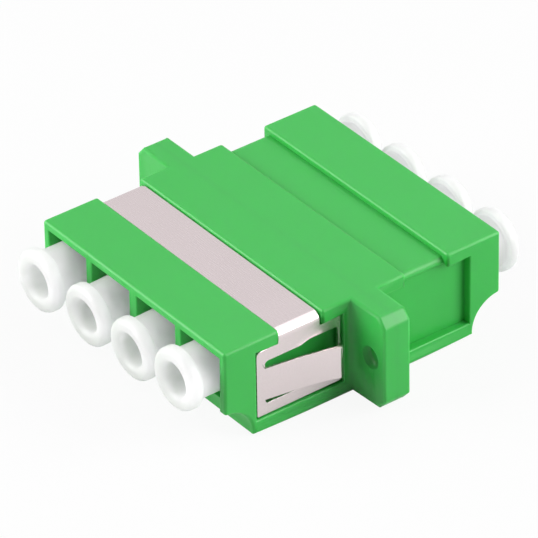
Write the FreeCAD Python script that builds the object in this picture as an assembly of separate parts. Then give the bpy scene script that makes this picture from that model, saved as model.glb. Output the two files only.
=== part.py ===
import FreeCAD, Part
import math
import os

os.makedirs("parts", exist_ok=True)
V = FreeCAD.Vector

# Frame: X across the ports, Y along the mating axis, Z up. The front is -Y, the halves meet at y = 0.

# Ports
pair_pitch = 6.25
middle_pitch = 6.5
cavity = 4.62          # square plug cavity
mouth_flare = 0.415    # how much wider the mouth is on each side
mouth_above = 2.45     # mouth's roof above the port axis
mouth_depth = 2.1
taper_depth = 0.7
latch_width = 3.4
latch_drop = 4.55      # latch slot's floor below the port axis
catch_front = 5.6      # from the end face to the latch shoulder
catch_length = 2.6
catch_width = 4.5
catch_rise = 0.75      # catch pocket's floor above the latch slot's
web_half = 1.3

# Walls round the ports, which give the body its width and height
side_wall = 0.39
pocket_depth = 0.8
roof_wall = 0.39
channel_depth = 0.55
floor_wall = 1.5
belly = 0.4            # rise of the underside's side edges from the flanges to each end
belly_width = 0.6

# Body
half_length = 14.85
edge_round = 0.3
end_notch = 2.95       # radius of the concave notch under each end

# Flange wings
wing_reach = 4.5
wing_thickness = 2.9
wing_lift = 0.1        # underside at the wing's root, above the lowest line
wing_draft = 0.25      # further rise of the underside to the outer corner
wing_cut_x = 0.8       # sloped outer corners
wing_cut_z = 0.9
wing_round = 0.3       # free edges of the outer face
hole_reach = 2.65      # hole axis from the body's side
hole_diameter = 2.2
hole_z = 5.05

# Clip channel over the top and the pockets on the sides, the same at both ends
lip_length = 5.8
channel_side = 0.6
channel_round = 0.5        # between the channel's floor and its sides
channel_rim = 0.25         # rounding of the channel's upper edges
pocket_end_wall = 0.55     # between the port's taper and the pocket
pocket_wing_wall = 0.8
pocket_floor_rim = 1.05
pocket_roof_rim = 1.3
panel_step = 0.08

# Sleeve holders and split sleeves
hub_diameter = 2.9
hub_entry = 2.1
hub_entry_length = 2.9
sleeve_od = 1.62
sleeve_id = 1.25
sleeve_length = 6.8
sleeve_slot = 0.3
sleeve_chamfer = 0.1
sleeve_play = 0.04
sleeve_end_play = 0.06
retainer_bore = 1.4
retainer_length = 0.7

# Panel clip
sheet = 0.3
strap_width = 4.4
strap_play = 0.1
side_gap = 0.05
bend_outer = 0.8
plate_gap = 0.2        # round the side plate in its pocket
plate_low_gap = 0.1
plate_back_gap = 0.1
plate_corner = 0.5      # upper front corner
plate_low_corner = 0.15
bar_width = 0.88       # plate in front of the window
back_bar = 0.3         # plate behind it
lower_leg = 1.1
slit = 0.4
tab_height = 3.2
tab_gap = 0.7          # window above the tab
window_step = 0.27     # the window is higher behind its ramp
ramp_start = 3.8       # from the window's front
ramp_length = 0.95
window_round = 0.4
slit_round = 0.18
tab_spread = 1.5
tab_corner = 0.4
panel_room = 2.1       # between the wing and the tab's free end
curl_radius = 0.45

# Dust caps
cap_play = 0.06
cap_collar = 5.8
cap_collar_length = 1.2
cap_stand = 2.85       # collar face beyond the body's end
front_caps_out = [0.55, 0.0, 0.0, 0.0]       # a cap that isn't pushed fully home
front_caps_droop = [0.0, 2.6, 2.4, 0.0]      # degrees that each soft cap hangs down from the hub's tip
rear_caps_droop = [1.4, 1.4, 1.4, 2.0]
cap_stem = 3.9
cap_bore_play = 0.12
cap_barrel_inside = 1.6
cap_overlap = 1.5      # how far the stem reaches over the hub
cap_seat_gap = 0.15
cap_recess = 3.1
cap_recess_depth = 6.0
cap_recess_round = 0.5
cap_round = 0.45
cap_back_round = 0.2
cap_lead = 0.2

# How far cutters reach past a face, and how far shapes reach into each other before they are joined
past = 1.0
into = 0.1

# What follows from them
inner_x = middle_pitch / 2
port_x = [-inner_x - pair_pitch, -inner_x, inner_x, inner_x + pair_pitch]
latch_low = belly + floor_wall
port_z = latch_low + latch_drop
body_height = port_z + cavity / 2 + roof_wall + channel_depth
body_side = port_x[-1] + cavity / 2 + side_wall + pocket_depth
channel_z = body_height - channel_depth
channel_x = body_side - channel_side
channel_start = -half_length + lip_length
channel_end = channel_start + strap_width + 2 * strap_play
pocket_x = body_side - pocket_depth
pocket_end = -half_length + mouth_depth + taper_depth + pocket_end_wall
pocket_start = -wing_thickness / 2 - pocket_wing_wall
pocket_low = belly + pocket_floor_rim
pocket_high = body_height - pocket_roof_rim
sleeve_stop = sleeve_length / 2 + sleeve_end_play
hub_reach = sleeve_stop + retainer_length + hub_entry_length
plate_x = channel_x + side_gap
plate_end = pocket_end + plate_gap
plate_low = pocket_low + plate_low_gap
plate_high = pocket_high - plate_gap
strap_start = channel_start + strap_play
strap_end = strap_start + strap_width
window_front = plate_end + bar_width
window_back = pocket_start - plate_back_gap - back_bar
window_low = plate_low + lower_leg
tab_low = window_low + slit
window_high = tab_low + tab_height + tab_gap


def block(x0, x1, y0, y1, z0, z1):
    return Part.makeBox(x1 - x0, y1 - y0, z1 - z0, V(x0, y0, z0))


def slot_block(x, half, y0, y1, z0, z1):
    return block(x - half, x + half, y0, y1, z0, z1)


def extruded(points, push):
    return Part.Face(Part.makePolygon(points + [points[0]])).extrude(push)


def along_x(yz, x0, x1):
    return extruded([V(x0, y, z) for y, z in yz], V(x1 - x0, 0, 0))


def along_y(xz, y0, y1):
    return extruded([V(x, y0, z) for x, z in xz], V(0, y1 - y0, 0))


def along_z(xy, z0, z1):
    return extruded([V(x, y, z0) for x, y in xy], V(0, 0, z1 - z0))


def rod(radius, x, z, y0, y1):
    return Part.makeCylinder(radius, y1 - y0, V(x, y0, z), V(0, 1, 0))


def turned(ry, x, z):
    points = [V(x + r, y, z) for r, y in ry]
    face = Part.Face(Part.makePolygon(points + [points[0]]))
    return face.revolve(V(x, 0, z), V(0, 1, 0), 360)


def arc(x, y, radius, a0, a1, steps):
    turns = [math.radians(a0 + (a1 - a0) * i / steps) for i in range(steps + 1)]
    return [(x + radius * math.cos(a), y + radius * math.sin(a)) for a in turns]


def both_sides(shape):
    return shape.fuse(shape.mirror(V(0, 0, 0), V(1, 0, 0)))


# What the underside's side edge loses: from nothing at the flange to its full rise at the body's end
def edge_wedge():
    end, flat = -half_length, -wing_thickness / 2
    start = V(body_side, flat, 0)
    corners = [V(body_side - belly_width, end, 0), V(body_side, end, 0), V(body_side, end, belly)]
    base = Part.Face(Part.makePolygon(corners + corners[:1]))
    sides = [Part.Face(Part.makePolygon([a, b, start, a])) for a, b in zip(corners, corners[1:] + corners[:1])]
    return Part.Solid(Part.Shell([base] + sides))


# Half of the body as one block, with its end notch and every free edge rounded
def shell():
    end = -half_length
    wide = body_side + past
    body = block(-body_side, body_side, end, 0, 0, body_height)
    body = body.cut(Part.makeCylinder(end_notch, 2 * wide, V(-wide, end, belly), V(1, 0, 0)))
    free = [e for e in body.Edges if min(v.Point.y for v in e.Vertexes) < -into]
    return body.makeFillet(edge_round, free).cut(both_sides(edge_wedge()))


# The right wing, with the free edges of its outer face rounded, and its mirror image
def wings():
    root, out = body_side - past, body_side + wing_reach
    face = -wing_thickness / 2
    corner, top = wing_lift + wing_draft, body_height
    low_cut = [(out - wing_cut_x, corner), (out, corner + wing_cut_z)]
    high_cut = [(out, top - wing_cut_z), (out - wing_cut_x, top)]
    wing = along_y([(root, wing_lift)] + low_cut + high_cut + [(root, top)], face, 0)
    free = []
    for e in wing.Edges:
        on_face = max(v.Point.y for v in e.Vertexes) < face + into
        if on_face and max(v.Point.x for v in e.Vertexes) > body_side:
            free.append(e)
    wing = wing.makeFillet(wing_round, free)
    return both_sides(wing.cut(rod(hole_diameter / 2, body_side + hole_reach, hole_z, face - past, past)))


# The channel for the clip's strap: a flat floor with rounded ends, and a notch through each pocket's rim
def channel():
    wide = body_side + past
    top = body_height + past
    r = channel_round
    low, high = pocket_high - into, channel_z + into
    floor = block(-wide, wide, channel_start, channel_end, channel_z, top)
    side = arc(channel_x - r, channel_z - r, r, 90, 0, 4)
    side += [(channel_x, low), (wide, low), (wide, high), (channel_x - r, high)]
    return floor.fuse(both_sides(along_y(side, channel_start, channel_end)))


# The edges over the top and down the sides where the channel's two walls end
def channel_rims(body):
    rims = []
    for e in body.Edges:
        box = e.BoundBox
        on_wall = box.YLength < into and min(abs(box.YMin - y) for y in (channel_start, channel_end)) < into
        outside = box.ZMin > body_height - into or max(box.XMax, -box.XMin) > body_side - into
        if on_wall and outside and box.ZMax > pocket_high + into:
            rims.append(e)
    return rims


def pockets():
    wide = body_side + past
    pocket = block(pocket_x, wide, pocket_end, pocket_start, pocket_low, pocket_high)
    deep = block(pocket_x - panel_step, wide, channel_start, pocket_start, pocket_low, pocket_high)
    return both_sides(pocket.fuse(deep))


# The wide mouth and the loft that guides a plug from it into the cavity
def mouth(x):
    face = -half_length
    c = cavity / 2
    w = c + mouth_flare
    top = port_z + mouth_above
    y0, y1 = face + mouth_depth, face + mouth_depth + taper_depth
    big = [(x - w, latch_low), (x + w, latch_low), (x + w, top), (x - w, top)]
    small = [(x - c, latch_low), (x + c, latch_low), (x + c, port_z + c), (x - c, port_z + c)]
    rings = []
    for y, corners in ((y0, big), (y1, small)):
        points = [V(px, y, pz) for px, pz in corners]
        rings.append(Part.makePolygon(points + [points[0]]))
    return slot_block(x, w, face - past, y0, latch_low, top).fuse(Part.makeLoft(rings, True, True))


# A port: mouth, square cavity, latch slot under it and the two shoulders that the latch catches on
def port(x):
    face = -half_length
    c = cavity / 2
    step = face + mouth_depth
    catch = face + catch_front
    over = port_z - c + into
    catch_end = catch + catch_length
    cut = mouth(x).fuse(slot_block(x, c, step, -web_half, port_z - c, port_z + c))
    cut = cut.fuse(slot_block(x, latch_width / 2, step, catch_end, latch_low, over))
    return cut.fuse(slot_block(x, catch_width / 2, catch, catch_end, latch_low + catch_rise, over))


# Sleeve holder: a round nose in the port, with a ring that keeps the sleeve in
def hub(x):
    return rod(hub_diameter / 2, x, port_z, -hub_reach, -web_half + into)


def hub_hole(x):
    s, r, e = sleeve_od / 2 + sleeve_play, retainer_bore / 2, hub_entry / 2
    ring = -sleeve_stop - retainer_length
    return turned([(0, past), (s, past), (s, -sleeve_stop), (r, -sleeve_stop), (r, ring), (e, -hub_reach),
                   (e, -hub_reach - past), (0, -hub_reach - past)], x, port_z)


def housing_half():
    body = shell().fuse(wings()).cut(channel()).cut(pockets()).removeSplitter()
    body = body.makeFillet(channel_rim, channel_rims(body))
    for x in port_x:
        body = body.cut(port(x)).fuse(hub(x)).cut(hub_hole(x))
    return body.removeSplitter()


def split_sleeve(x):
    y = sleeve_length / 2
    o, i, c = sleeve_od / 2, sleeve_id / 2, sleeve_chamfer
    tube = turned([(i + c / 2, -y), (o - c, -y), (o, -y + c), (o, y - c), (o - c, y), (i + c / 2, y),
                   (i, y - c / 2), (i, -y + c / 2)], x, port_z)
    return tube.cut(slot_block(x, sleeve_slot / 2, -y - past, y + past, port_z, port_z + sleeve_od))


# The strap across the top with its two bent corners, down to where the side plates carry on
def strap():
    low = window_high + window_step
    bend_x = plate_x + sheet - bend_outer
    bend_z = channel_z + sheet - bend_outer
    ro, ri = bend_outer, bend_outer - sheet
    outer = [(bend_x + ro, low)] + arc(bend_x, bend_z, ro, 0, 90, 8)
    inner = arc(bend_x, bend_z, ri, 90, 0, 8) + [(bend_x + ri, low)]
    right, left = outer, [(-x, z) for x, z in outer[::-1]]
    under = [(-x, z) for x, z in inner[::-1]] + inner
    return along_y(right + left + under, strap_start, strap_end)


# One side plate: a frame round a window with round corners, whose top edge steps up behind a short ramp
def side_plate():
    back = window_back + back_bar
    c, d, r, q = plate_corner, plate_low_corner, window_round, slit_round
    top = window_high + window_step
    ramp = window_front + ramp_start
    outline = arc(plate_end + d, plate_low + d, d, 180, 270, 3) + [(back, plate_low), (back, plate_high)]
    outline += arc(plate_end + c, plate_high - c, c, 90, 180, 6)
    window = arc(window_front + q, window_low + q, q, 180, 270, 3)
    window += arc(window_back - q, window_low + q, q, 270, 360, 3)
    window += arc(window_back - q, top - q, q, 0, 90, 3)
    window += [(ramp + ramp_length, top), (ramp, window_high)]
    window += arc(window_front + r, window_high - r, r, 90, 180, 4)
    plate = along_x(outline, plate_x, plate_x + sheet)
    return plate.cut(along_x(window, plate_x - past, plate_x + sheet + past))


# The spring tab: a strip bent ever further outwards from the window's front, its free end curled back in
def spring_tab():
    start = window_front - into
    end = -wing_thickness / 2 - panel_room
    steps = 14
    middle = []
    for i in range(steps + 1):
        t = i / steps
        spread = tab_spread * t * (0.72 + 0.28 * t ** 3)
        middle.append((plate_x + sheet / 2 + spread, start + (end - start) * t))
    x, y = middle[-1]
    middle += arc(x - curl_radius, y, curl_radius, 12, 100, 6)
    outer, inner = [], []
    for i, (px, py) in enumerate(middle):
        ax, ay = middle[max(i - 1, 0)]
        bx, by = middle[min(i + 1, len(middle) - 1)]
        n = math.hypot(bx - ax, by - ay)
        nx, ny = (by - ay) / n * sheet / 2, -(bx - ax) / n * sheet / 2
        outer.append((px + nx, py + ny))
        inner.append((px - nx, py - ny))
    tab_high = tab_low + tab_height
    strip = along_z(outer + inner[::-1], tab_low, tab_high)
    tip = end + curl_radius + sheet / 2
    c = tab_corner
    side = [(start - past, tab_high), (start - past, tab_low)] + arc(tip - c, tab_low + c, c, 270, 360, 5)
    side += arc(tip - c, tab_high - c, c, 0, 90, 5)
    return strip.common(along_x(side, 0, body_side + wing_reach))


def panel_clip():
    return strap().fuse(both_sides(side_plate().fuse(spring_tab()))).removeSplitter()


# A turned dust cap: collar with a round-edged recess, barrel in the mouth, stem over the hub's tip. It stands
# out by so much more, and hangs down from the hub's tip by so many degrees.
def dust_cap(x, out, droop):
    front = -half_length - cap_stand
    back = front + cap_collar_length
    step = -half_length + cap_barrel_inside
    end = -hub_reach + cap_overlap
    floor = -hub_reach - cap_seat_gap
    deep = front + cap_recess_depth
    collar, recess = cap_collar / 2, cap_recess / 2
    barrel = mouth_above - cap_play
    stem = cap_stem / 2
    bore = hub_diameter / 2 + cap_bore_play
    k, q = cap_round, cap_recess_round
    b, lead = cap_back_round, cap_lead
    profile = [(0, deep)] + arc(recess - q, deep - q, q, 90, 0, 3)
    profile += arc(recess + k, front + k, k, 180, 270, 4)
    profile += arc(collar - k, front + k, k, 270, 360, 4) + arc(collar - b, back - b, b, 0, 90, 3)
    profile += [(barrel, back), (barrel, step - lead), (stem, step), (stem, end - lead), (stem - lead, end)]
    profile += [(bore + lead, end), (bore, end - lead), (bore, floor), (0, floor)]
    cap = turned(profile, x, port_z)
    cap.rotate(V(x, -hub_reach, port_z), V(1, 0, 0), droop)
    cap.translate(V(0, -out, 0))
    return cap


def mirrored(shape):
    return shape.mirror(V(0, 0, 0), V(0, 1, 0))


def save(shape, name):
    if len(shape.Solids) == 1:
        shape = shape.Solids[0]
    shape.exportStep("parts/" + name + ".step")


def build():
    half = housing_half()
    save(half, "front_housing")
    save(mirrored(half), "rear_housing")
    save(panel_clip(), "panel_clip")
    for i, x in enumerate(port_x):
        name = "%d" % (i + 1)
        save(split_sleeve(x), "split_sleeve_" + name)
        save(dust_cap(x, front_caps_out[i], front_caps_droop[i]), "front_cap_" + name)
        save(mirrored(dust_cap(x, 0.0, rear_caps_droop[i])), "rear_cap_" + name)


build()
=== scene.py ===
"""A four-port fibre optic adapter: two green moulded halves, a spring-steel panel clip, ceramic sleeves and
white dust caps, on a white table under soft light."""

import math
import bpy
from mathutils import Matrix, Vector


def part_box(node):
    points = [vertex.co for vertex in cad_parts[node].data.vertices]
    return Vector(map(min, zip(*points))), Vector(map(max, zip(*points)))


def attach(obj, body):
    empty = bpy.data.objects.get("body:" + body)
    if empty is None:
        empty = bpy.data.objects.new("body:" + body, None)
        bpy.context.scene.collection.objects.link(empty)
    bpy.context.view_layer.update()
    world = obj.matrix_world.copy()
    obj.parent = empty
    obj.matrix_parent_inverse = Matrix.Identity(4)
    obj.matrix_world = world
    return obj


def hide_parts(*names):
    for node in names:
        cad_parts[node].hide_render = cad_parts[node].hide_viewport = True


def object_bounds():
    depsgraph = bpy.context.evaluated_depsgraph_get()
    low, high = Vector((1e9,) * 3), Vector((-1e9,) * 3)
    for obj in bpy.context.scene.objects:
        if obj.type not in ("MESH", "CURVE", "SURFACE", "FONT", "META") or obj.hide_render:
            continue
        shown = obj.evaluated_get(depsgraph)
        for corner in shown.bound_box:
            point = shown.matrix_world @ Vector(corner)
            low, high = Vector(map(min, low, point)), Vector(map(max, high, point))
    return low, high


bl_info = {
    "name": "Fibre Adapter",
    "version": (1, 0, 0),
    "blender": (4, 5, 0),
    "location": "View3D > Sidebar > Adapter",
    "description": "Builds the looks of a flanged four-port fibre optic adapter round its packed solids",
    "category": "Add Mesh",
}

import bmesh
import bpy
import numpy as np
from bpy.props import FloatProperty, FloatVectorProperty, IntProperty, PointerProperty
from mathutils import Matrix, Vector

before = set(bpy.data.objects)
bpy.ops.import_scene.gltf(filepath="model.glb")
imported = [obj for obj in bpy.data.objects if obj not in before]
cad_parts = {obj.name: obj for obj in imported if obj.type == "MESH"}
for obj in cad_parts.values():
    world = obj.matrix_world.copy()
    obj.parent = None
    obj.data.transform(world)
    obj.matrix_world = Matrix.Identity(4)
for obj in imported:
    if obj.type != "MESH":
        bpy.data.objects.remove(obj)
FRAME_LOW, FRAME_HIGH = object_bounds()

MM = 0.001
ADAPTER = "adapter"
HALVES = ("front_housing", "rear_housing")
CLIP = "panel_clip"
SLEEVES = ["split_sleeve_%d" % i for i in range(1, 5)]
CAPS = [(end, i) for end in ("front", "rear") for i in range(1, 5)]

SEAM = 0.0             # plane in which the halves meet
STEP_Y = 9.05 * MM     # where a small step crosses each side pocket's floor
STEP_LOW = 0.07 * MM   # the step's height lies between these two
STEP_HIGH = 0.09 * MM
STEP_RAMP = 0.5 * MM   # length of the ramp that stands for it
CLOSE = 0.01 * MM      # how near to its plane a point of the step lies

LIGHT_DISTANCE = 0.35  # from the adapter's middle to each softbox
MIDDLE = Vector((0, 0, 0.005))
TABLE_HALF = 6.0       # half the table's side


def length(name, default, description, low=0.0):
    """A size in metres that a user can change."""
    return FloatProperty(name=name, description=description, default=default, min=low, unit="LENGTH", precision=5)


def colour(name, default, description):
    """A colour that a user can change, in linear values."""
    return FloatVectorProperty(name=name, description=description, default=default, size=3, min=0.0, max=1.0,
                               subtype="COLOR")


class HousingSettings(bpy.types.PropertyGroup):
    """Moulded halves."""

    plastic: colour("Plastic", (0.042, 0.490, 0.080), "Colour of the moulded plastic")
    edge: length("Edge", 0.17 * MM, "Rounding of the moulded edges")
    steps: IntProperty(name="Edge steps", description="Facets across a rounded edge", default=3, min=1, max=6)
    grain: length("Grain", 0.16 * MM, "Size of the moulded skin's fine grain")
    roughness: FloatProperty(name="Roughness", description="How dull the plastic is", default=0.42, min=0.0, max=1.0)


class ClipSettings(bpy.types.PropertyGroup):
    """Panel clip."""

    steel: colour("Steel", (0.834, 0.732, 0.745), "Colour of the spring steel")
    edge: length("Edge", 0.08 * MM, "Rounding of the stamped edges")
    grain: length("Grain", 0.05 * MM, "Width of the rolling lines")
    roughness: FloatProperty(name="Roughness", description="How dull the steel is", default=0.27, min=0.0, max=1.0)


class SleeveSettings(bpy.types.PropertyGroup):
    """Alignment sleeves."""

    ceramic: colour("Ceramic", (0.85, 0.83, 0.77), "Colour of the ground ceramic")
    edge: length("Edge", 0.02 * MM, "Rounding of the ground edges")
    roughness: FloatProperty(name="Roughness", description="How dull the ceramic is", default=0.22, min=0.0, max=1.0)


class CapSettings(bpy.types.PropertyGroup):
    """Dust caps."""

    plastic: colour("Plastic", (0.985, 0.945, 0.99), "Colour of the soft translucent plastic")
    around: IntProperty(name="Sides", description="Facets round a cap", default=96, min=24, max=256)
    roughness: FloatProperty(name="Roughness", description="How dull the plastic is", default=0.38, min=0.0, max=1.0)
    stand: length("Stand", 2.85 * MM, "From the body's end to the collar's face")
    collar: length("Collar", 5.8 * MM, "Diameter of the collar")
    collar_length: length("Collar length", 1.2 * MM, "Thickness of the collar")
    barrel: length("Barrel", 4.78 * MM, "Diameter of the barrel")
    barrel_inside: length("Barrel inside", 1.6 * MM, "How far the barrel reaches into the mouth")
    stem: length("Stem", 3.9 * MM, "Diameter of the stem in the cavity")
    bore: length("Bore", 3.14 * MM, "Diameter of the bore over the sleeve holder")
    recess: length("Recess", 3.1 * MM, "Diameter of the blind recess in the collar")
    recess_depth: length("Recess depth", 6.0 * MM, "Depth of the blind recess")
    port_z: length("Port height", 6.45 * MM, "Height of the port axes")
    hub_tip: length("Hub tip", 7.06 * MM, "From the middle plane to the tip of a sleeve holder")
    overlap: length("Overlap", 1.5 * MM, "How far the stem reaches over the sleeve holder")
    seat: length("Seat", 0.15 * MM, "Gap between the sleeve holder's tip and the bore's floor")
    front_out: FloatVectorProperty(name="Front caps out", description="How much further each front cap stands out",
                                   size=4, default=(0.55 * MM, 0.0, 0.0, 0.0), unit="LENGTH", precision=5)
    front_droop: FloatVectorProperty(name="Front droop", description="How far each front cap hangs down",
                                     size=4, default=[math.radians(a) for a in (0.0, 2.6, 2.4, 0.0)],
                                     unit="ROTATION")
    rear_droop: FloatVectorProperty(name="Rear droop", description="How far each rear cap hangs down", size=4,
                                    default=[math.radians(a) for a in (1.4, 1.4, 1.4, 2.0)], unit="ROTATION")


class StageSettings(bpy.types.PropertyGroup):
    """Camera, lights and table."""

    azimuth: FloatProperty(name="Azimuth", description="Where the camera stands round the adapter",
                           default=math.radians(53.265), subtype="ANGLE")
    elevation: FloatProperty(name="Elevation", description="How high the camera stands",
                             default=math.radians(34.361), subtype="ANGLE")
    roll: FloatProperty(name="Roll", description="Turn of the camera about its own axis",
                        default=math.radians(-1.081), subtype="ANGLE")
    distance: length("Distance", 522.1 * MM, "From the camera to the point that it looks at")
    focal: FloatProperty(name="Focal length", description="Lens, in millimetres on a 36 mm sensor",
                         default=404.04, min=10.0)
    target: FloatVectorProperty(name="Target", description="Point that the camera looks at", size=3,
                                default=(-0.3186 * MM, -0.0634 * MM, 5.018 * MM), unit="LENGTH", precision=6)
    fill: FloatProperty(name="Fill", description="Light from all round", default=0.15, min=0.0)
    back: FloatProperty(name="Back", description="Light from behind", default=0.20, min=0.0)
    right: FloatProperty(name="Right", description="Light from behind on the right", default=1.27, min=0.0)
    left: FloatProperty(name="Left", description="Light from the front on the left", default=1.50, min=0.0)


def settings(name):
    """The values of one group of the panel."""
    return getattr(bpy.context.scene, name)


# Materials

def link(tree, a, out, b, into):
    tree.links.new(a.outputs[out], b.inputs[into])


def math_node(tree, operation, *values):
    """A Math node whose inputs are numbers or (node, output) pairs."""
    node = tree.nodes.new("ShaderNodeMath")
    node.operation = operation
    for i, value in enumerate(values):
        if isinstance(value, tuple):
            link(tree, value[0], value[1], node, i)
        else:
            node.inputs[i].default_value = value
    return node


def new_group(name, inputs, outputs):
    """An empty shader group with (name, kind, default) inputs and (name, kind) outputs."""
    tree = bpy.data.node_groups.new(name, "ShaderNodeTree")
    for label, kind, default in inputs:
        socket = tree.interface.new_socket(name=label, in_out="INPUT", socket_type=kind)
        socket.default_value = default
    for label, kind in outputs:
        tree.interface.new_socket(name=label, in_out="OUTPUT", socket_type=kind)
    return tree, tree.nodes.new("NodeGroupInput"), tree.nodes.new("NodeGroupOutput")


def noise(tree, vector, scale, rough):
    """Three octaves of noise on object coordinates; scale is a number or a (node, output) pair."""
    node = tree.nodes.new("ShaderNodeTexNoise")
    node.inputs["Detail"].default_value = 3.0
    node.inputs["Roughness"].default_value = rough
    link(tree, vector[0], vector[1], node, "Vector")
    if isinstance(scale, tuple):
        link(tree, scale[0], scale[1], node, "Scale")
    else:
        node.inputs["Scale"].default_value = scale
    return node


def moulded_skin():
    """Group: skin of a moulded surface. Height is the fine grain, Shade varies the colour slowly about 1 and Dull
    varies the roughness about 0."""
    name = "moulded_skin"
    if name in bpy.data.node_groups:
        return bpy.data.node_groups[name]
    tree, start, end = new_group(
        name,
        [("Grain", "NodeSocketFloat", 6000.0), ("Cloud", "NodeSocketFloat", 250.0),
         ("Shade amount", "NodeSocketFloat", 0.05), ("Dull amount", "NodeSocketFloat", 0.1)],
        [("Height", "NodeSocketFloat"), ("Shade", "NodeSocketFloat"), ("Dull", "NodeSocketFloat")])
    place = tree.nodes.new("ShaderNodeTexCoord")
    fine = noise(tree, (place, "Object"), (start, "Grain"), 0.6)
    cloud = noise(tree, (place, "Object"), (start, "Cloud"), 0.55)
    link(tree, fine, "Fac", end, "Height")
    centred = math_node(tree, "SUBTRACT", (cloud, "Fac"), 0.5)
    shade = math_node(tree, "MULTIPLY", (centred, 0), (start, "Shade amount"))
    link(tree, math_node(tree, "ADD", (shade, 0), 1.0), 0, end, "Shade")
    mixed = math_node(tree, "SUBTRACT", (fine, "Fac"), 0.5)
    both = math_node(tree, "ADD", (mixed, 0), (centred, 0))
    link(tree, math_node(tree, "MULTIPLY", (both, 0), (start, "Dull amount")), 0, end, "Dull")
    return tree


def place_group(tree, group, **values):
    node = tree.nodes.new("ShaderNodeGroup")
    node.node_tree = group
    for key, value in values.items():
        node.inputs[key.replace("_", " ")].default_value = value
    return node


def new_material(name):
    material = bpy.data.materials.new(name)
    material.use_nodes = True
    tree = material.node_tree
    return material, tree, tree.nodes["Principled BSDF"]


def tinted(tree, rgb, shade):
    """The base colour scaled by a shade value that varies over the surface."""
    node = tree.nodes.new("ShaderNodeVectorMath")
    node.operation = "SCALE"
    node.inputs[0].default_value = rgb
    link(tree, shade[0], shade[1], node, "Scale")
    return node


def bump(tree, shader, height, strength, depth):
    node = tree.nodes.new("ShaderNodeBump")
    node.inputs["Strength"].default_value = strength
    node.inputs["Distance"].default_value = depth
    link(tree, height[0], height[1], node, "Height")
    link(tree, node, "Normal", shader, "Normal")


def moulded(name, rgb, roughness, grain, cloud, shade, dull, strength, depth):
    """Plastic whose colour, gloss and relief come from the moulded skin group. grain and cloud are noise scales,
    shade and dull the variation of colour and roughness, strength and depth the relief's."""
    material, tree, shader = new_material(name)
    skin = place_group(tree, moulded_skin(), Grain=grain, Cloud=cloud, Shade_amount=shade, Dull_amount=dull)
    link(tree, tinted(tree, rgb, (skin, "Shade")), 0, shader, "Base Color")
    rough = math_node(tree, "ADD", (skin, "Dull"), roughness)
    link(tree, rough, 0, shader, "Roughness")
    bump(tree, shader, (skin, "Height"), strength, depth)
    return material, shader


def green_plastic():
    s = settings("adapter_housing")
    material, shader = moulded("green_plastic", s.plastic, s.roughness, grain=1.0 / s.grain, cloud=220.0,
                               shade=0.06, dull=0.10, strength=0.12, depth=0.01 * MM)
    shader.inputs["IOR"].default_value = 1.5
    shader.inputs["Subsurface Weight"].default_value = 1.0
    shader.inputs["Subsurface Radius"].default_value = (0.4, 1.0, 0.5)
    shader.inputs["Subsurface Scale"].default_value = 0.35 * MM
    return material


def cap_plastic():
    s = settings("adapter_caps")
    material, shader = moulded("cap_plastic", s.plastic, s.roughness, grain=5000.0, cloud=300.0,
                               shade=0.03, dull=0.10, strength=0.10, depth=0.01 * MM)
    shader.inputs["IOR"].default_value = 1.48
    shader.inputs["Subsurface Weight"].default_value = 1.0
    shader.inputs["Subsurface Radius"].default_value = (1.0, 1.0, 1.05)
    shader.inputs["Subsurface Scale"].default_value = 8.5 * MM
    return material


def ceramic():
    s = settings("adapter_sleeves")
    material, shader = moulded("ceramic", s.ceramic, s.roughness, grain=20000.0, cloud=800.0,
                               shade=0.03, dull=0.08, strength=0.05, depth=0.005 * MM)
    shader.inputs["IOR"].default_value = 2.1
    return material


def spring_steel():
    """Cold-rolled sheet: noise stretched along the strip gives fine rolling lines in relief, gloss and tone."""
    s = settings("adapter_clip")
    material, tree, shader = new_material("spring_steel")
    place = tree.nodes.new("ShaderNodeTexCoord")
    stretch = tree.nodes.new("ShaderNodeMapping")
    stretch.inputs["Scale"].default_value = (0.03, 1.0, 1.0)
    link(tree, place, "Object", stretch, "Vector")
    lines = noise(tree, (stretch, "Vector"), 1.0 / s.grain, 0.6)
    cloud = noise(tree, (place, "Object"), 180.0, 0.5)
    tone = math_node(tree, "SUBTRACT", (lines, "Fac"), 0.5)
    tone = math_node(tree, "MULTIPLY", (tone, 0), 0.02)
    soft = math_node(tree, "MULTIPLY_ADD", (cloud, "Fac"), 0.06, 0.97)
    shade = math_node(tree, "ADD", (tone, 0), (soft, 0))
    link(tree, tinted(tree, s.steel, (shade, 0)), 0, shader, "Base Color")
    rough = math_node(tree, "MULTIPLY_ADD", (lines, "Fac"), 0.04, s.roughness - 0.02)
    link(tree, rough, 0, shader, "Roughness")
    shader.inputs["Metallic"].default_value = 1.0
    bump(tree, shader, (lines, "Fac"), 0.02, 0.001 * MM)
    return material


# Shapes

def arc(x, y, radius, start, stop, steps):
    """Points (x + radius cos t, y + radius sin t) with t running evenly from start to stop, in degrees."""
    t = np.radians(np.linspace(start, stop, steps + 1))
    return np.column_stack((x + radius * np.cos(t), y + radius * np.sin(t)))


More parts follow.
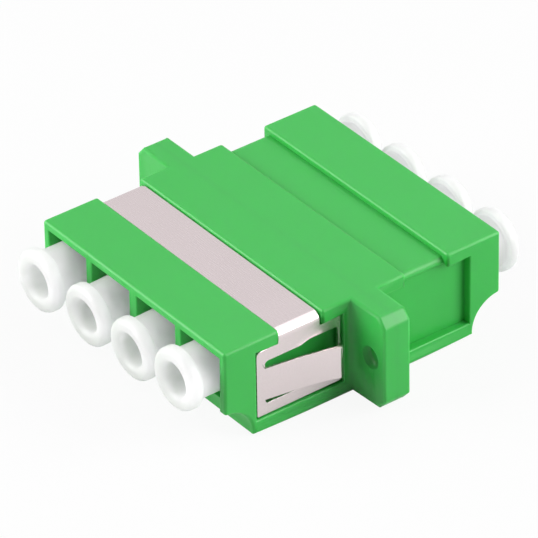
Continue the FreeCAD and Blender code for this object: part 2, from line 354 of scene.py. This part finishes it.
def turned(name, profile, x, z, around, pivot, droop, out):
    """A surface of revolution about the line through (x, ., z) along Y. Point (i, j) of the grid is
    (x + r_i cos t_j, y_i, z + r_i sin t_j) for the profile's (r_i, y_i) and t_j evenly round the circle.
    The profile starts and ends on the axis, where a fan of triangles closes it. The whole is turned by droop
    about the line through (., pivot, z) along X and moved by out along Y:
    y' = pivot + (y - pivot) cos d - (z' - z) sin d + out and z'' = z + (y - pivot) sin d + (z' - z) cos d."""
    r, y = profile[1:-1, 0], profile[1:-1, 1]
    t = np.linspace(0, 2 * np.pi, around, endpoint=False)
    rings = np.stack((x + np.outer(r, np.cos(t)), np.repeat(y[:, None], around, 1), z + np.outer(r, np.sin(t))), -1)
    poles = np.array([[x, profile[0, 1], z], [x, profile[-1, 1], z]])
    points = np.vstack((rings.reshape(-1, 3), poles))
    c, d = math.cos(droop), math.sin(droop)
    along, up = points[:, 1] - pivot, points[:, 2] - z
    points = np.column_stack((points[:, 0], pivot + along * c - up * d + out, z + along * d + up * c))
    i, j = np.meshgrid(np.arange(len(r) - 1), np.arange(around), indexing="ij")
    k = (j + 1) % around
    quads = np.stack((i * around + j, (i + 1) * around + j, (i + 1) * around + k, i * around + k), -1).reshape(-1, 4)
    j = np.arange(around)
    k = (j + 1) % around
    first, last = len(points) - 2, len(points) - 1
    low = np.column_stack((np.full(around, first), j, k))
    base = (len(r) - 1) * around
    high = np.column_stack((np.full(around, last), base + k, base + j))
    mesh = bpy.data.meshes.new(name)
    mesh.from_pydata(points, [], quads.tolist() + low.tolist() + high.tolist())
    mesh.shade_smooth()
    mesh.set_sharp_from_angle(angle=math.radians(40))
    piece = bpy.data.objects.new(name, mesh)
    bpy.context.scene.collection.objects.link(piece)
    return piece


def coordinates(mesh):
    """All of a mesh's points, one row each."""
    points = np.empty(len(mesh.vertices) * 3)
    mesh.vertices.foreach_get("co", points)
    return points.reshape(-1, 3)


def outwards(mesh):
    """Turns a closed mesh's faces outwards if its signed volume is negative."""
    mesh.calc_loop_triangles()
    corners = np.empty(len(mesh.loop_triangles) * 3, np.int32)
    mesh.loop_triangles.foreach_get("vertices", corners)
    a, b, c = coordinates(mesh)[corners.reshape(-1, 3)].transpose(1, 0, 2)
    if np.einsum("ij,ij->i", a, np.cross(b, c)).sum() < 0:
        mesh.flip_normals()


def ramp_steps(solid):
    """Makes the small step across each side pocket's floor a ramp, which throws no dark line: the outer point of
    each edge that climbs the step moves away from the seam."""
    for edge in solid.edges:
        inner, outer = sorted(edge.verts, key=lambda v: abs(v.co.x))
        if (outer.co - inner.co).length < STEP_HIGH and abs(abs(inner.co.y) - STEP_Y) < CLOSE:
            if abs(outer.co.x - inner.co.x) > STEP_LOW:
                outer.co.y += math.copysign(STEP_RAMP, outer.co.y)


def merged_copy(node, name, seam=None, mirrored=False):
    """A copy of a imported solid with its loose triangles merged, its flat faces made whole and its small steps made
    ramps, without its faces in the plane y = seam, and with y' = -y if it is mirrored."""
    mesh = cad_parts[node].data.copy()
    mesh.name = name
    solid = bmesh.new()
    solid.from_mesh(mesh)
    if mirrored:
        bmesh.ops.scale(solid, vec=(1, -1, 1), verts=solid.verts)
        bmesh.ops.reverse_faces(solid, faces=solid.faces)
    bmesh.ops.remove_doubles(solid, verts=solid.verts, dist=0.001 * MM)
    bmesh.ops.dissolve_limit(solid, angle_limit=math.radians(1.0), verts=solid.verts, edges=solid.edges)
    ramp_steps(solid)
    if seam is not None:
        joint = [f for f in solid.faces if max(abs(v.co.y - seam) for v in f.verts) < 0.005 * MM]
        bmesh.ops.delete(solid, geom=joint, context="FACES")
    solid.to_mesh(mesh)
    solid.free()
    piece = bpy.data.objects.new(name, mesh)
    bpy.context.scene.collection.objects.link(piece)
    return piece


def mark_edges(mesh, angle, width):
    """Picks the edges to round: the convex ones whose faces turn by more than angle. An edge of a strip narrower
    than width, taking 2 area / perimeter of a face for its width, is marked soft and shaded as if round instead."""
    solid = bmesh.new()
    solid.from_mesh(mesh)
    weight = solid.edges.layers.float.new("bevel_weight_edge")
    soft = solid.edges.layers.float.new("soft")
    for edge in solid.edges:
        if edge.calc_face_angle(0.0) > angle:
            if min(2 * face.calc_area() / face.calc_perimeter() for face in edge.link_faces) < width:
                edge[soft] = 1.0
            elif edge.is_convex:
                edge[weight] = 1.0
    solid.to_mesh(mesh)
    solid.free()


def round_edges(piece, width, steps, angle):
    """Rounds the picked edges, closes the seam again and makes sharp what still turns by more than angle and isn't
    marked soft."""
    rounding = piece.modifiers.new("edges", "BEVEL")
    rounding.limit_method = "WEIGHT"
    rounding.width = width
    rounding.segments = steps
    rounding.use_clamp_overlap = False
    rounding.miter_outer = "MITER_ARC"
    mesh = bpy.data.meshes.new_from_object(piece.evaluated_get(bpy.context.evaluated_depsgraph_get()))
    piece.modifiers.clear()
    piece.data = mesh
    solid = bmesh.new()
    solid.from_mesh(mesh)
    rim = [edge for edge in solid.edges if edge.is_boundary]
    if rim:
        bmesh.ops.triangle_fill(solid, use_beauty=True, edges=rim)
        bmesh.ops.recalc_face_normals(solid, faces=solid.faces)
    for face in solid.faces:
        face.smooth = True
    soft = solid.edges.layers.float["soft"]
    for edge in solid.edges:
        edge.smooth = edge[soft] > 0.5 or edge.calc_face_angle(0.0) < angle
    solid.to_mesh(mesh)
    solid.free()


def moulding(node, material, edge, steps, angle, seam=None, twin=None):
    """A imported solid's copy with rounded edges and even shading, which stands for the solid. Where the solid is the
    mirror image of a twin, the copy is made from the twin. angle is in degrees."""
    piece = merged_copy(twin or node, node + "_finished", seam, twin is not None)
    piece.data.materials.clear()
    piece.data.materials.append(material)
    mark_edges(piece.data, math.radians(angle), edge)
    round_edges(piece, edge, steps, math.radians(angle))
    even = piece.modifiers.new("even", "WEIGHTED_NORMAL")
    even.keep_sharp = True
    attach(piece, ADAPTER)
    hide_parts(node)
    return piece


class ADAPTER_OT_housing(bpy.types.Operator):
    """Finish the two moulded halves"""

    bl_idname = "adapter.housing"
    bl_label = "Housing"

    def execute(self, context):
        s = context.scene.adapter_housing
        plastic = green_plastic()
        front, rear = HALVES
        moulding(front, plastic, s.edge, s.steps, 35, SEAM)
        moulding(rear, plastic, s.edge, s.steps, 35, SEAM, front)
        return {"FINISHED"}


class ADAPTER_OT_clip(bpy.types.Operator):
    """Finish the panel clip"""

    bl_idname = "adapter.clip"
    bl_label = "Panel clip"

    def execute(self, context):
        s = context.scene.adapter_clip
        moulding(CLIP, spring_steel(), s.edge, 2, 40)
        return {"FINISHED"}


class ADAPTER_OT_sleeves(bpy.types.Operator):
    """Finish the alignment sleeves"""

    bl_idname = "adapter.sleeves"
    bl_label = "Sleeves"

    def execute(self, context):
        s = context.scene.adapter_sleeves
        material = ceramic()
        for node in SLEEVES:
            moulding(node, material, s.edge, 2, 40)
        return {"FINISHED"}


class ADAPTER_OT_caps(bpy.types.Operator):
    """Turn the dust caps"""

    bl_idname = "adapter.caps"
    bl_label = "Dust caps"

    def profile(self, s, away):
        """(radius, y) from the recess's floor round the collar, along the barrel and stem and up the bore, for a
        cap whose collar looks along away * Y. Depths run inwards from the collar's face. The radii of its rounded
        edges are rim, back, lead and inner, and root is the one where the stem meets the barrel."""
        end = 0 if away < 0 else 1
        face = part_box(HALVES[end])[end][1] + away * s.stand
        collar, recess, barrel, stem, bore = s.collar / 2, s.recess / 2, s.barrel / 2, s.stem / 2, s.bore / 2
        step = s.stand + s.barrel_inside
        reach = abs(face) - s.hub_tip + s.overlap
        floor = abs(face) - s.hub_tip - s.seat
        rim, back = 0.5 * MM, 0.22 * MM
        lead, inner, root = 0.2 * MM, 0.15 * MM, 0.05 * MM
        rows = [np.array([[0.0, s.recess_depth]]),
                arc(recess - rim, s.recess_depth - rim, rim, 90, 0, 8),
                arc(recess + rim, rim, rim, 180, 270, 10),
                arc(collar - rim, rim, rim, 270, 360, 10),
                arc(collar - back, s.collar_length - back, back, 0, 90, 6),
                arc(barrel + inner, s.collar_length + inner, inner, 270, 180, 4),
                arc(barrel - lead, step - lead, lead, 0, 90, 4),
                arc(stem + root, step + root, root, 270, 180, 3),
                arc(stem - lead, reach - lead, lead, 0, 90, 5),
                arc(bore + inner, reach - inner, inner, 90, 180, 4),
                np.array([[bore, floor], [0.0, floor]])]
        rows = np.vstack(rows)
        return np.column_stack((rows[:, 0], face - away * rows[:, 1]))

    def execute(self, context):
        s = context.scene.adapter_caps
        material = cap_plastic()
        for end, i in CAPS:
            node = "%s_cap_%d" % (end, i)
            low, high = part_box(node)
            away = -1 if end == "front" else 1
            droop = -away * (s.front_droop if end == "front" else s.rear_droop)[i - 1]
            out = away * s.front_out[i - 1] if end == "front" else 0.0
            piece = turned("%s_dust_cap_%d_turned" % (end, i), self.profile(s, away), (low[0] + high[0]) / 2,
                           s.port_z, s.around, away * s.hub_tip, droop, out)
            outwards(piece.data)
            points = coordinates(piece.data)
            if max(np.abs(points.min(axis=0) - low).max(), np.abs(points.max(axis=0) - high).max()) > 0.1 * MM:
                raise RuntimeError(node + " and its turned piece differ in place")
            piece.data.materials.append(material)
            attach(piece, "%s_dust_cap_%d" % (end, i))
            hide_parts(node)
        return {"FINISHED"}


def white_on_camera(tree, lit, out, camera, glossy, depth):
    """Shows plain white to camera and transmission rays by the share camera, and to glossy rays by the share glossy
    up to the ray depth that stands for their first bounce, and the lit shader for the rest and to all others."""
    path = tree.nodes.new("ShaderNodeLightPath")
    seen = math_node(tree, "MAXIMUM", (path, "Is Camera Ray"), (path, "Is Transmission Ray"))
    seen = math_node(tree, "MULTIPLY", (seen, 0), camera)
    straight = math_node(tree, "LESS_THAN", (path, "Ray Depth"), depth + 0.5)
    shiny = math_node(tree, "MULTIPLY", (path, "Is Glossy Ray"), glossy)
    shiny = math_node(tree, "MULTIPLY", (shiny, 0), (straight, 0))
    seen = math_node(tree, "MAXIMUM", (seen, 0), (shiny, 0))
    white = tree.nodes.new("ShaderNodeBackground" if out.bl_idname.endswith("World") else "ShaderNodeEmission")
    white.inputs["Color"].default_value = (1, 1, 1, 1)
    white.inputs["Strength"].default_value = 1.0
    mix = tree.nodes.new("ShaderNodeMixShader")
    link(tree, seen, 0, mix, 0)
    tree.links.new(lit.outputs[0], mix.inputs[1])
    tree.links.new(white.outputs[0], mix.inputs[2])
    link(tree, mix, 0, out, "Surface")


class ADAPTER_OT_stage(bpy.types.Operator):
    """Set the camera, the lights and the white table"""

    bl_idname = "adapter.stage"
    bl_label = "Stage"

    def camera(self, s):
        data = bpy.data.cameras.new("camera")
        data.sensor_fit = "HORIZONTAL"
        data.sensor_width = 36.0
        data.lens = s.focal
        data.clip_start, data.clip_end = 0.01, 10.0
        back = Vector((math.sin(s.azimuth) * math.cos(s.elevation), -math.cos(s.azimuth) * math.cos(s.elevation),
                       math.sin(s.elevation)))
        right = Vector((math.cos(s.azimuth), math.sin(s.azimuth), 0.0))
        up = back.cross(right)
        c, n = math.cos(s.roll), math.sin(s.roll)
        x, y = right * c + up * n, up * c - right * n
        place = Vector(s.target) + back * s.distance
        camera = bpy.data.objects.new("camera", data)
        camera.matrix_world = Matrix(((x.x, y.x, back.x, place.x), (x.y, y.y, back.y, place.y),
                                      (x.z, y.z, back.z, place.z), (0, 0, 0, 1)))
        bpy.context.scene.collection.objects.link(camera)
        bpy.context.scene.camera = camera

    def softbox(self, name, azimuth, elevation, size, power):
        """A square area light that looks at the adapter. The azimuth runs in degrees from -Y to +X."""
        data = bpy.data.lights.new(name, "AREA")
        data.shape = "SQUARE"
        data.size = size
        data.energy = power
        light = bpy.data.objects.new(name, data)
        a, e = math.radians(azimuth), math.radians(elevation)
        way = Vector((math.sin(a) * math.cos(e), -math.cos(a) * math.cos(e), math.sin(e)))
        light.location = way * LIGHT_DISTANCE + MIDDLE
        light.rotation_euler = way.to_track_quat("Z", "Y").to_euler()
        bpy.context.scene.collection.objects.link(light)

    def execute(self, context):
        s = context.scene.adapter_stage
        scene = context.scene
        scene.view_settings.view_transform = "Standard"
        self.camera(s)
        self.softbox("behind", 185, 45, 0.30, s.back)
        self.softbox("right_behind", 134, 28, 0.26, s.right)
        self.softbox("left_front", 326, 28, 0.28, s.left)
        world = bpy.data.worlds.new("white_room")
        scene.world = world
        world.use_nodes = True
        tree = world.node_tree
        lit = tree.nodes["Background"]
        lit.inputs["Color"].default_value = (1, 1, 1, 1)
        lit.inputs["Strength"].default_value = s.fill
        white_on_camera(tree, lit, tree.nodes["World Output"], camera=1.0, glossy=0.74, depth=2)
        low, side = min(FRAME_LOW[2], 0.0), TABLE_HALF
        mesh = bpy.data.meshes.new("table")
        mesh.from_pydata([(-side, -side, low), (side, -side, low), (side, side, low), (-side, side, low)], [],
                         [(0, 1, 2, 3)])
        table = bpy.data.objects.new("table", mesh)
        scene.collection.objects.link(table)
        material, tree, shader = new_material("table_white")
        shader.inputs["Base Color"].default_value = (0.75, 0.75, 0.75, 1)
        shader.inputs["Roughness"].default_value = 0.9
        shader.inputs["Specular IOR Level"].default_value = 0.0
        white_on_camera(tree, shader, tree.nodes["Material Output"], camera=0.92, glossy=0.45, depth=1)
        mesh.materials.append(material)
        return {"FINISHED"}


class ADAPTER_PT_panel(bpy.types.Panel):
    """Builds the adapter piece by piece"""

    bl_idname = "ADAPTER_PT_panel"
    bl_label = "Fibre Adapter"
    bl_space_type = "VIEW_3D"
    bl_region_type = "UI"
    bl_category = "Adapter"

    def draw(self, context):
        for operator, name, group in STEPS:
            box = self.layout.box()
            box.operator(operator.bl_idname)
            values = getattr(context.scene, name)
            for key in values.bl_rna.properties.keys():
                if key not in ("rna_type", "name"):
                    box.prop(values, key)


# Each step's operator, and the name and the class of its settings
STEPS = ((ADAPTER_OT_housing, "adapter_housing", HousingSettings),
         (ADAPTER_OT_clip, "adapter_clip", ClipSettings),
         (ADAPTER_OT_sleeves, "adapter_sleeves", SleeveSettings),
         (ADAPTER_OT_caps, "adapter_caps", CapSettings),
         (ADAPTER_OT_stage, "adapter_stage", StageSettings))


def register():
    for operator, name, group in STEPS:
        bpy.utils.register_class(group)
        setattr(bpy.types.Scene, name, PointerProperty(type=group))
        bpy.utils.register_class(operator)
    bpy.utils.register_class(ADAPTER_PT_panel)


def unregister():
    bpy.utils.unregister_class(ADAPTER_PT_panel)
    for operator, name, group in reversed(STEPS):
        bpy.utils.unregister_class(operator)
        delattr(bpy.types.Scene, name)
        bpy.utils.unregister_class(group)


def main():
    register()
    for operator, name, group in STEPS:
        space, action = operator.bl_idname.split(".")
        getattr(getattr(bpy.ops, space), action)()


if __name__ == "__main__":
    main()
